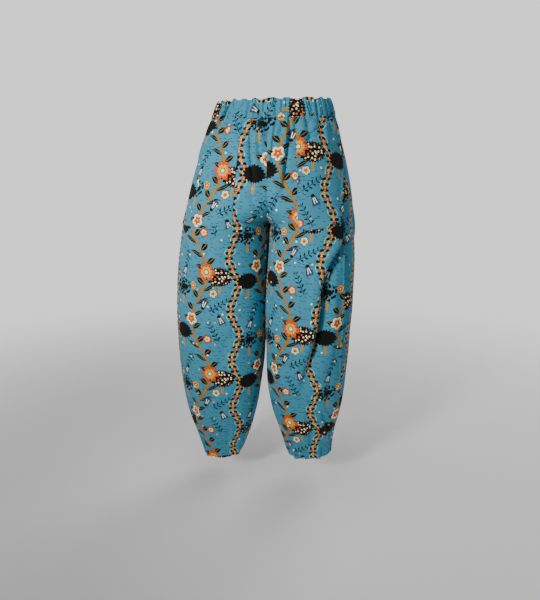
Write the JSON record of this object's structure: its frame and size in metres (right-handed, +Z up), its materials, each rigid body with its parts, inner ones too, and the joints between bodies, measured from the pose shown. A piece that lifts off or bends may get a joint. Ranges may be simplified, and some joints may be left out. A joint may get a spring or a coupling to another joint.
{
  "type": "barrel leg trousers",
  "caption": "Worn, hollow barrel leg trousers in printed cotton, with a gathered elastic waistband and patch pockets on the front hips.",
  "frame": {"origin": "middle of the waistband's loop at half its height, where the wearer's waist holds it", "axes": "+Z up, the fronts face -Y, +X is the wearer's left"},
  "size_m": [0.4941, 0.2896, 1.0132],
  "materials": {
    "printed_cotton": "plain-weave cotton, printed, teal blue ground, matt"
  },
  "bodies": {
    "root": {"waistband": "printed_cotton", "front_left": "printed_cotton", "front_right": "printed_cotton", "back_left": "printed_cotton", "back_right": "printed_cotton", "pocket_left": "printed_cotton", "pocket_right": "printed_cotton"}
  },
  "joints": []
}
